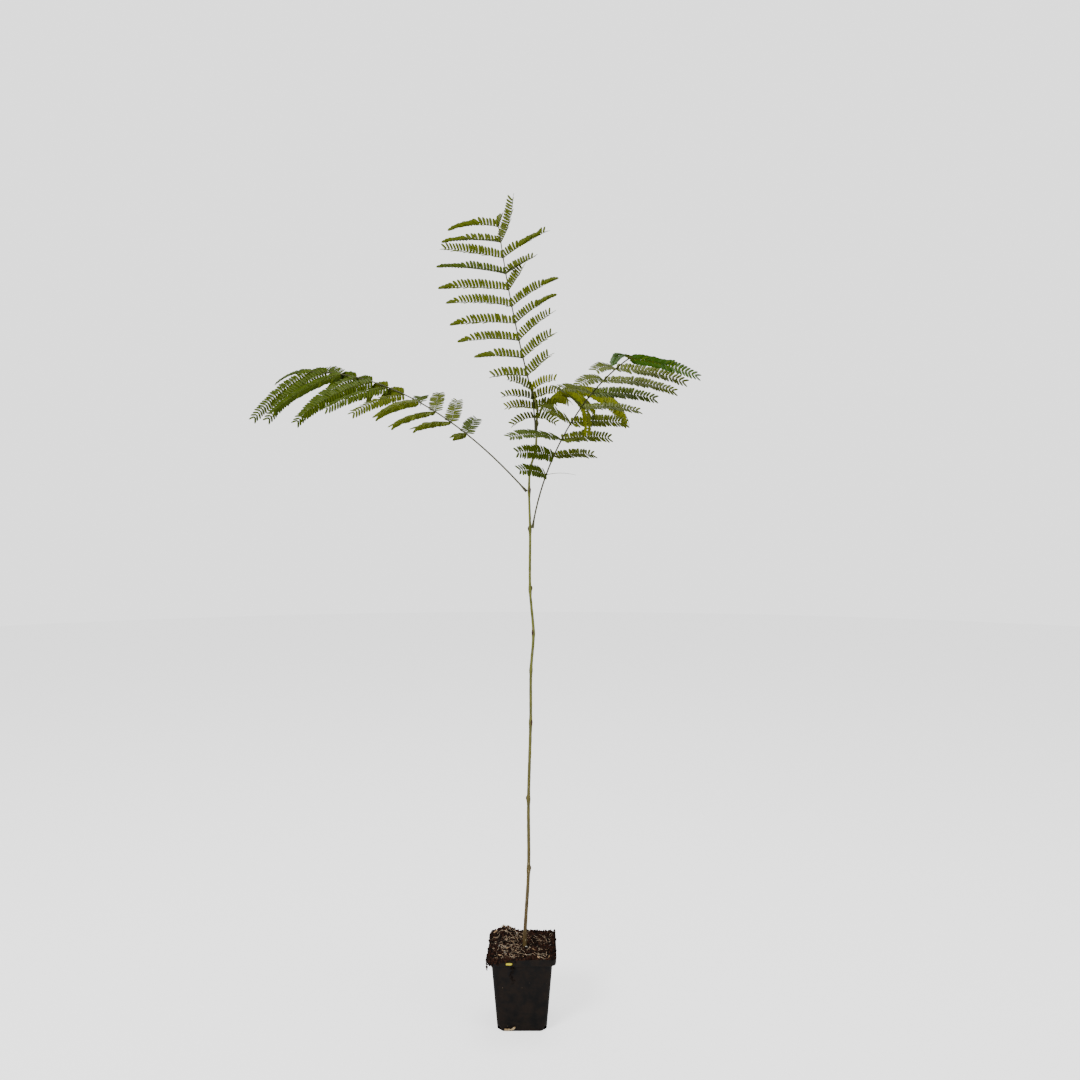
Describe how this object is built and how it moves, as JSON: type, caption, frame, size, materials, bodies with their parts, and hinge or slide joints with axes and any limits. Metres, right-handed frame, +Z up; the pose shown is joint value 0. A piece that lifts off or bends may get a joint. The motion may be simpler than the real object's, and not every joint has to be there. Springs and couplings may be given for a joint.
{
  "type": "potted silk tree sapling",
  "caption": "Young silk tree with a slim upright stem and spreading feathery twice-divided leaves, growing in compost in a square black nursery pot.",
  "frame": {"origin": "middle of the pot's flat underside", "axes": "+Z up the stem, -Y towards the side the plant was seen from, +X to the right in that view"},
  "size_m": [0.7681, 0.5665, 1.414],
  "materials": {
    "pot_plastic": "satin",
    "compost": "matte",
    "bark": "satin",
    "stalk": "satin",
    "leaf": "matte"
  },
  "bodies": {
    "root": {"pot": "pot_plastic", "compost": "compost", "stem": "bark", "stalk_right": "stalk", "stalk_left": "stalk", "stalk_upper": "stalk", "stalk_arching": "stalk", "stalk_young": "stalk", "foliage_right": "leaf", "foliage_left": "leaf", "foliage_upper": "leaf", "foliage_arching": "leaf", "foliage_young": "leaf"}
  },
  "joints": []
}
